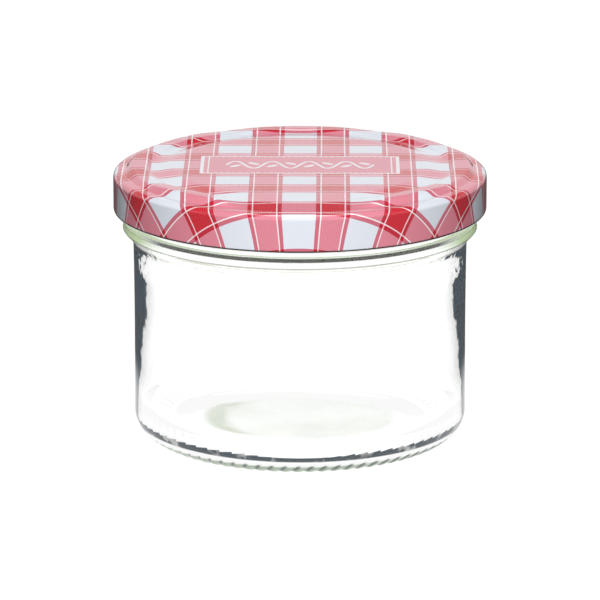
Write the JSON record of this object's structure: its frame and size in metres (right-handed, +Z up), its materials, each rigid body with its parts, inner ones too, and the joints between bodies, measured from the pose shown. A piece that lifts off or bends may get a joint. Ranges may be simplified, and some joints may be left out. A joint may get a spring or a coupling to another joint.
{
  "type": "preserving jar",
  "caption": "Squat clear glass preserving jar with a flat base, closed by a printed metal twist-off lid with a pressed ring.",
  "frame": {"origin": "middle of the ring that the jar stands on, in the plane of the stand", "axes": "+Z up along the jar's axis, -Y towards the side from which the lid's print reads"},
  "size_m": [0.086, 0.086, 0.0644],
  "materials": {
    "clear_glass": "gloss, very faint green in thick places",
    "printed_tinplate": "gloss lacquer over a red and white check",
    "sealing_compound": "satin"
  },
  "bodies": {
    "root": {"glass_jar": "clear_glass", "twist_lid": "printed_tinplate", "sealing_ring": "sealing_compound"}
  },
  "joints": []
}
